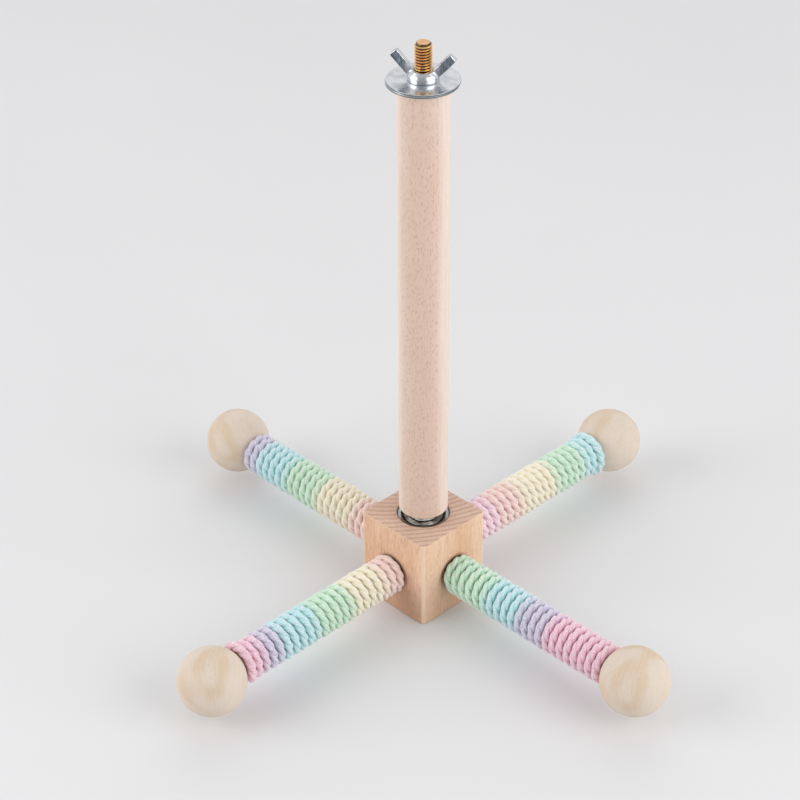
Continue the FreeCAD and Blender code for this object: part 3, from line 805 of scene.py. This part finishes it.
def spline_curve(name, kind, lines):
    """A curve of several splines through points, or steered by them."""
    data = bpy.data.curves.new(name, "CURVE")
    data.dimensions = "3D"
    for line in lines:
        spline = data.splines.new(kind)
        spline.points.add(len(line) - 1)
        for point, (where, thickness) in zip(spline.points, line):
            point.co = (*where, 1.0)
            point.radius = thickness
    return data


def made_mesh(data):
    """The mesh that Blender makes of a curve."""
    carrier = bpy.data.objects.new(data.name, data)
    mesh = bpy.data.meshes.new_from_object(carrier)
    bpy.data.objects.remove(carrier)
    bpy.data.curves.remove(data)
    return mesh


def smooth(share):
    """A smooth step up from 0 to 1, and the same for a share below 0."""
    return share * share * (3 - 2 * abs(share))


def crossing(share):
    """How far a turn has moved along the arm, when it crosses over early and then lies square."""
    return CROSSING_STEP * smooth(min(share / CROSSING_SHARE, 1.0)) + (1 - CROSSING_STEP) * share


def eased_turns(place_in_turns):
    """A winding's progress along its arm, its end turns square against the hub and the ball."""
    share = place_in_turns % 1.0
    half = WINDING_TURNS / 2
    towards_end = (place_in_turns - half) / half
    if towards_end > 0:
        moved = crossing(share) - share
    else:
        moved = 1 - crossing(1 - share) - share
    return place_in_turns + smooth(towards_end) * moved


def winding_line(arm):
    """The rope's centreline about +X: a straight lead, the turns and a straight lead, as smooth points."""
    # A cubic spline runs inside the points that steer it, so they stand further out by this factor
    spread = 3 / (2 + math.cos(math.tau / POINTS_A_TURN))
    first = tube_low.x + SOLID_TUBE_THICK / 2
    last = tube_high.x - SOLID_TUBE_THICK / 2
    lead = SOLID_TUBE_THICK / (math.tau * WINDING_MIDDLE[arm])
    count = WINDING_TURNS * POINTS_A_TURN
    start = math.radians(WINDING_START_ANGLE)

    def on_turn(place_in_turns):
        share = (eased_turns(place_in_turns) + lead) / (WINDING_TURNS + 2 * lead)
        angle = start + place_in_turns * math.tau
        seed = Vector((place_in_turns * WANDER_TURN_STEP, arm * WANDER_ARM_STEP, 0.0))
        near_end = max(0.0, 1 - (WINDING_TURNS - place_in_turns) / SWELL_TURNS)
        swell = END_SWELL[arm] * math.sin(math.pi / 2 * near_end) ** 2
        out = (WINDING_MIDDLE[arm] + WANDER * noise.noise(seed)) * spread + swell
        sideways = WANDER * noise.noise(seed + Vector((0, 0, WANDER_SIDE_STEP)))
        x = first + (last - first) * share + sideways
        return Vector((x, out * math.cos(angle), ARM_HEIGHT + out * math.sin(angle)))

    points = [on_turn(index / POINTS_A_TURN) for index in range(count + 1)]
    slope = (last - first) / (WINDING_TURNS + 2 * lead) * lead
    tangent = Vector((0, -math.sin(start), math.cos(start))) * SOLID_TUBE_THICK
    points.insert(0, points[0] - tangent - Vector((slope, 0, 0)))
    points.append(points[-1] + tangent + Vector((slope, 0, 0)))
    route = spline_curve("winding", "NURBS", [[(point, 1.0) for point in points]])
    route.splines[0].order_u = CURVE_ORDER
    route.splines[0].use_endpoint_u = True
    route.splines[0].resolution_u = POINTS_BETWEEN
    return [vertex.co.copy() for vertex in made_mesh(route).vertices]


def rope(arm, material):
    """The twisted rope on one arm: three strands laid left-handed round the winding's centreline."""
    line = winding_line(arm)
    strand_radius = STRAND_SHARE * ROPE_THICK[arm] / 2
    offset = ROPE_THICK[arm] / 2 - strand_radius
    turn = Matrix.Rotation(arm_turn(arm), 3, "Z")
    strands = [[] for _ in range(STRAND_COUNT)]
    whole = sum((b - a).length for a, b in zip(line, line[1:]))
    run = 0.0
    for index, point in enumerate(line):
        before, after = line[max(index - 1, 0)], line[min(index + 1, len(line) - 1)]
        run += (point - before).length
        ahead = (after - before).normalized()
        outward = Vector((0, point.y, point.z - ARM_HEIGHT))
        outward = (outward - ahead * outward.dot(ahead)).normalized()
        sideways = ahead.cross(outward)
        from_end = min(run, whole - run) / strand_radius
        dome = math.sqrt(max(0.0, 1 - (1 - min(from_end, 1.0)) ** 2))
        for number, strand in enumerate(strands):
            angle = math.tau * (number / STRAND_COUNT - run / ROPE_LAY)
            raised = outward * math.cos(angle) * (offset + PACKED_SWELL[arm])
            strand.append((turn @ (point + raised + sideways * math.sin(angle) * offset), dome))
    data = spline_curve(f"rope_{arm}", "POLY", strands)
    data.bevel_depth = strand_radius
    data.bevel_resolution = STRAND_SIDE_STEPS
    mesh = made_mesh(data)
    shape = bmesh.new()
    shape.from_mesh(mesh)
    bmesh.ops.remove_doubles(shape, verts=shape.verts, dist=strand_radius * MERGE_SHARE)
    bmesh.ops.recalc_face_normals(shape, faces=shape.faces)
    shape.to_mesh(mesh)
    shape.free()
    mesh.shade_smooth()
    made = new_object(f"wound_rope_{arm}", mesh, "carousel", material)
    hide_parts(f"perch_rope_{arm}")


def threaded_rod(shape, low, high, pitch, crest, depth):
    """A screw thread along Z that runs past two heights, open at both ends."""
    root = crest - depth
    outline = [(root, 0.0), (root, ROOT_END_SHARE), (crest, CREST_START_SHARE),
               (crest, CREST_END_SHARE), (root, ROOT_START_SHARE), (root, 1.0)]
    turns = math.ceil((high - low) / pitch) + 1
    chain = [shape.verts.new((radius, 0, low + (share - 1) * pitch)) for radius, share in outline]
    edges = [shape.edges.new(pair) for pair in zip(chain, chain[1:])]
    bmesh.ops.spin(shape, geom=chain + edges, axis=UP, cent=(0, 0, 0),
                   dvec=(0, 0, pitch / THREAD_STEPS), angle=math.tau * turns,
                   steps=THREAD_STEPS * turns, use_merge=False, use_duplicate=False)


def bolt_thread(low, high, pitch, crest, depth):
    """One threaded length of a hanger bolt, cut square at both ends and capped."""
    shape = bmesh.new()
    threaded_rod(shape, low, high, pitch, crest, depth)
    bmesh.ops.remove_doubles(shape, verts=shape.verts, dist=pitch * MERGE_SHARE)
    for height, upper in ((low, False), (high, True)):
        everything = shape.verts[:] + shape.edges[:] + shape.faces[:]
        cut = bmesh.ops.bisect_plane(shape, geom=everything, plane_co=(0, 0, height), plane_no=UP,
                                     clear_outer=upper, clear_inner=not upper)
        rim = [item for item in cut["geom_cut"] if isinstance(item, bmesh.types.BMEdge)]
        bmesh.ops.edgeloop_fill(shape, edges=rim)
    bmesh.ops.dissolve_degenerate(shape, dist=pitch * EMPTY_FACE_SHARE, edges=shape.edges)
    bmesh.ops.recalc_face_normals(shape, faces=shape.faces)
    return shape


def ease_end(shape, high, chamfer, crest):
    """Rounds the thread off towards a bolt's flat end."""
    for vertex in shape.verts:
        above = vertex.co.z - (high - chamfer)
        radius = vertex.co.xy.length
        limit = crest - max(above, 0.0)
        if above > 0 and radius > limit:
            vertex.co.xy *= limit / radius


def hanger_bolt(name, node, machine_up, material):
    """A hanger bolt with a machine thread at one end and a wood thread with a point at the other."""
    low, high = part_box(node)
    crest = (high.x - low.x) / 2
    length = high.z - low.z
    machine = bolt_thread(WOOD_THREAD_LENGTH, length, MACHINE_PITCH, crest, MACHINE_DEPTH)
    ease_end(machine, length, BOLT_END_CHAMFER, crest)
    wood = bolt_thread(0.0, WOOD_THREAD_LENGTH, WOOD_PITCH, WOOD_CREST_RADIUS, WOOD_DEPTH)
    for vertex in wood.verts:
        share = min(vertex.co.z / BOLT_POINT_LENGTH, 1.0)
        vertex.co.xy *= BOLT_POINT_SHARE + (1 - BOLT_POINT_SHARE) * share
    mesh = bpy.data.meshes.new(name)
    wood.to_mesh(mesh)
    machine.from_mesh(mesh)
    flip = Matrix.Identity(4) if machine_up else Matrix.Rotation(math.pi, 4, "X")
    base = Vector((0, 0, low.z if machine_up else high.z))
    bmesh.ops.transform(machine, matrix=Matrix.Translation(base) @ flip, verts=machine.verts)
    machine.to_mesh(mesh)
    machine.free()
    wood.free()
    mesh.shade_smooth()
    mesh.set_sharp_from_angle(angle=math.radians(THREAD_SHARP_ANGLE))
    made = new_object(name, mesh, "mast", material)
    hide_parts(node)


def dress(node, material):
    """Gives a solid of the frame its finish."""
    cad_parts[node].material_slots[0].material = material


def dress_frame():
    """Finishes for the solids that show as they are."""
    dress("post", turned_beech())
    dress("hub_block", hub_timber())
    dowel = dowel_timber()
    for arm in ARMS:
        angle = arm_turn(arm)
        centre = (BALL_REACH * math.cos(angle), BALL_REACH * math.sin(angle), ARM_HEIGHT)
        dress(f"end_ball_{arm}", ball_timber(arm, centre, BALL_GRAIN_TURNS[arm]))
        dress(f"perch_dowel_{arm}", dowel)
    zinc = plated_metal("bright_zinc", ZINC_BRIGHT, ZINC_DULL, ZINC_ROUGHNESS, COARSE_SMUDGES)
    dress("wing_nut", wing_zinc(math.radians(WING_NUT_YAW)))
    for node in ("spacer_nut", "lock_nut"):
        dress(node, zinc)
    washers = washer_zinc()
    for node in ("lower_washer", "upper_washer"):
        dress(node, washers)
    steel = plated_metal("ground_steel", STEEL_BRIGHT, STEEL_DULL, STEEL_ROUGHNESS, FINE_SMUDGES)
    for node in ("bearing_inner_ring", "bearing_outer_ring", "bearing_balls"):
        dress(node, steel)
    shield = shield_steel()
    dress("bearing_shield_upper", shield)
    dress("bearing_shield_lower", shield)
    dress("bearing_cage", cage_nylon())


def photo_axes():
    """The photograph's right and forward directions on the floor."""
    angle = math.radians(CAMERA_AZIMUTH)
    right = Vector((math.cos(angle), math.sin(angle), 0))
    forward = Vector((-math.sin(angle), math.cos(angle), 0))
    return right, forward


def photo_camera():
    """The camera where the photograph was taken."""
    forward = photo_axes()[1]
    data = bpy.data.cameras.new("photo_camera")
    data.sensor_width = CAMERA_SENSOR_MM
    data.lens = CAMERA_LENS_MM
    data.shift_x = CAMERA_SHIFT
    data.clip_start = CAMERA_NEAR
    made = bpy.data.objects.new("photo_camera", data)
    bpy.context.scene.collection.objects.link(made)
    stand = -forward * CAMERA_STAND_OFF + Vector((0, 0, CAMERA_HEIGHT))
    made.location = stand
    made.rotation_euler = (Vector((0, 0, AIM_HEIGHT)) - stand).to_track_quat("-Z", "Y").to_euler()
    bpy.context.scene.camera = made


def softbox(name, across, back, height, size, power, mirrored=True):
    """A square lamp aimed at the middle of the part, placed along the photograph's own directions."""
    right, forward = photo_axes()
    data = bpy.data.lights.new(name, "AREA")
    data.shape = "SQUARE"
    data.size = size
    data.energy = power
    made = bpy.data.objects.new(name, data)
    bpy.context.scene.collection.objects.link(made)
    made.location = right * across + forward * back + Vector((0, 0, height))
    made.visible_glossy = mirrored
    aim = Vector((0, 0, AIM_HEIGHT)) - made.location
    made.rotation_euler = aim.to_track_quat("-Z", "Y").to_euler()


def studio():
    """A plain pale floor under soft light."""
    shape = bmesh.new()
    bmesh.ops.create_circle(shape, cap_ends=True, segments=FLOOR_SIDES, radius=FLOOR_RADIUS)
    mesh = bpy.data.meshes.new("studio_floor")
    shape.to_mesh(mesh)
    shape.free()
    floor = bpy.data.objects.new("studio_floor", mesh)
    bpy.context.scene.collection.objects.link(floor)
    material, tree, shader = new_material("floor_paper")
    shade = speckle(tree, place(tree), FLOOR_MOTTLE_SCALE, detail=2.0)
    tree.links.new(tint(tree, shade, FLOOR_PALE, FLOOR_GREY), shader.inputs["Base Color"])
    shader.inputs["Roughness"].default_value = FLOOR_ROUGHNESS
    mesh.materials.append(material)
    softbox("right_softbox", across=1.05, back=-0.7, height=0.62, size=1.2, power=11.4)
    softbox("left_softbox", across=-1.2, back=-0.35, height=0.62, size=1.0, power=9.0)
    softbox("top_softbox", across=0.1, back=1.3, height=1.25, size=1.6, power=5.0, mirrored=False)
    world = bpy.data.worlds.new("studio_world")
    world.use_nodes = True
    bpy.context.scene.world = world
    tree = world.node_tree
    back = tree.nodes["Background"]
    ray = put(tree, "TexCoord").outputs["Generated"]
    rise = put(tree, "SeparateXYZ", {0: ray}).outputs["Z"]
    forward = photo_axes()[1]
    beyond = put(tree, "VectorMath", {0: ray, 1: forward}, operation="DOT_PRODUCT").outputs["Value"]
    low_sky = tint(tree, fade(tree, beyond, *SKY_SPREAD), LOW_SKY_NEAR, LOW_SKY_FAR)
    sky = tint(tree, fade(tree, rise, *SKY_RISE), low_sky, HIGH_SKY)
    tree.links.new(sky, back.inputs["Color"])
    back.inputs["Strength"].default_value = 1.0
    bpy.context.scene.view_settings.view_transform = "Standard"


dress_frame()
for arm in ARMS:
    rope(arm, dyed_cotton(arm))
gold = yellow_zinc()
hanger_bolt("threaded_stud", "hanger_bolt", True, gold)
hanger_bolt("threaded_axle", "axle_bolt", False, gold)
photo_camera()
studio()
